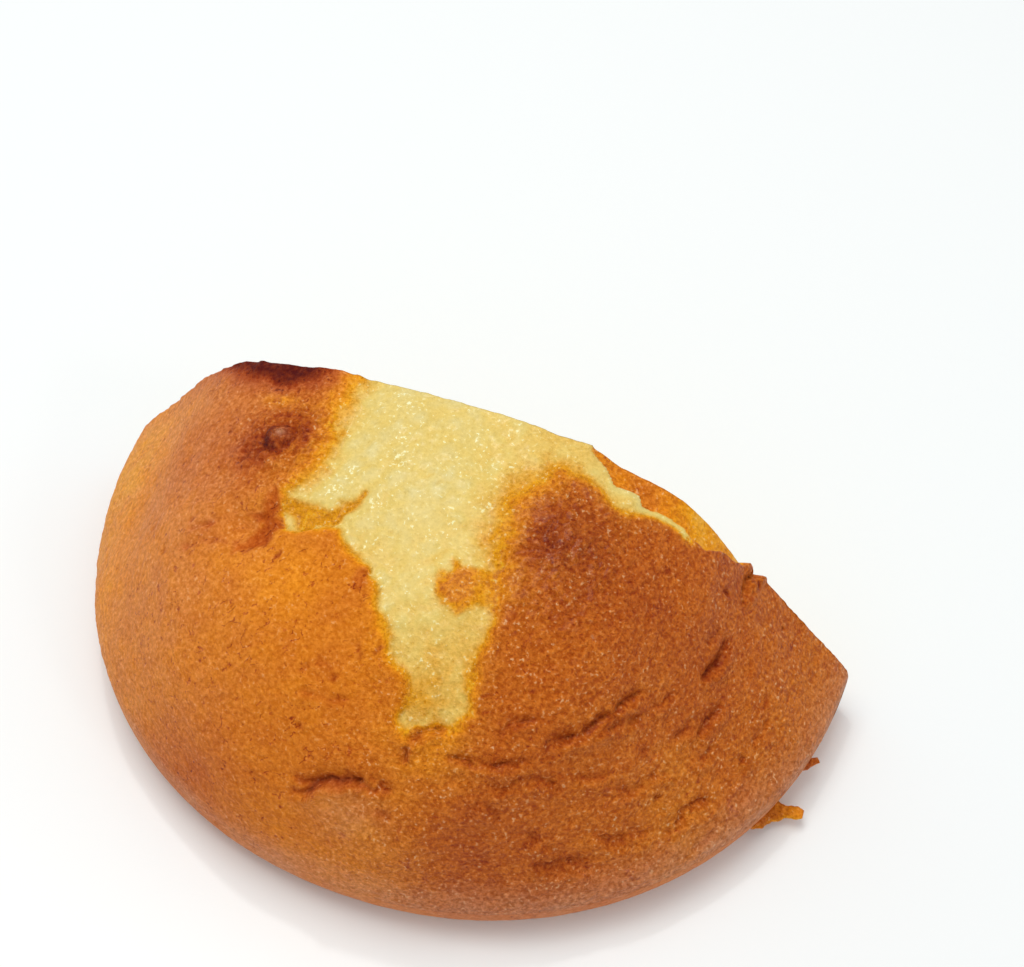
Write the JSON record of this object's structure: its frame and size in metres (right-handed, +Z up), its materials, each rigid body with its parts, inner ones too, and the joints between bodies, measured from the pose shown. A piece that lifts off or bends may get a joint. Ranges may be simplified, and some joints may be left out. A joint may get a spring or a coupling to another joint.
{
  "type": "half sweet bun",
  "caption": "Half of a round, soft, baked sweet bun, cut straight through and lying on its flat base, with brown crust, a pale split at the crown and an open crumb.",
  "frame": {"origin": "middle of the box of the half bun, on its flat base", "axes": "+X along the cut, with the long straight shoulder at the +X end; +Y out of the cut face; +Z up, from the base to the crown"},
  "size_m": [0.1, 0.0496, 0.0391],
  "materials": {
    "crust": "thin matte golden-brown baked crust with fine pores, paling to cream yellow in the split at the crown",
    "crumb": "soft cream-coloured crumb with open pores, matte"
  },
  "bodies": {
    "root": {"bun_half": "crust"}
  },
  "joints": []
}
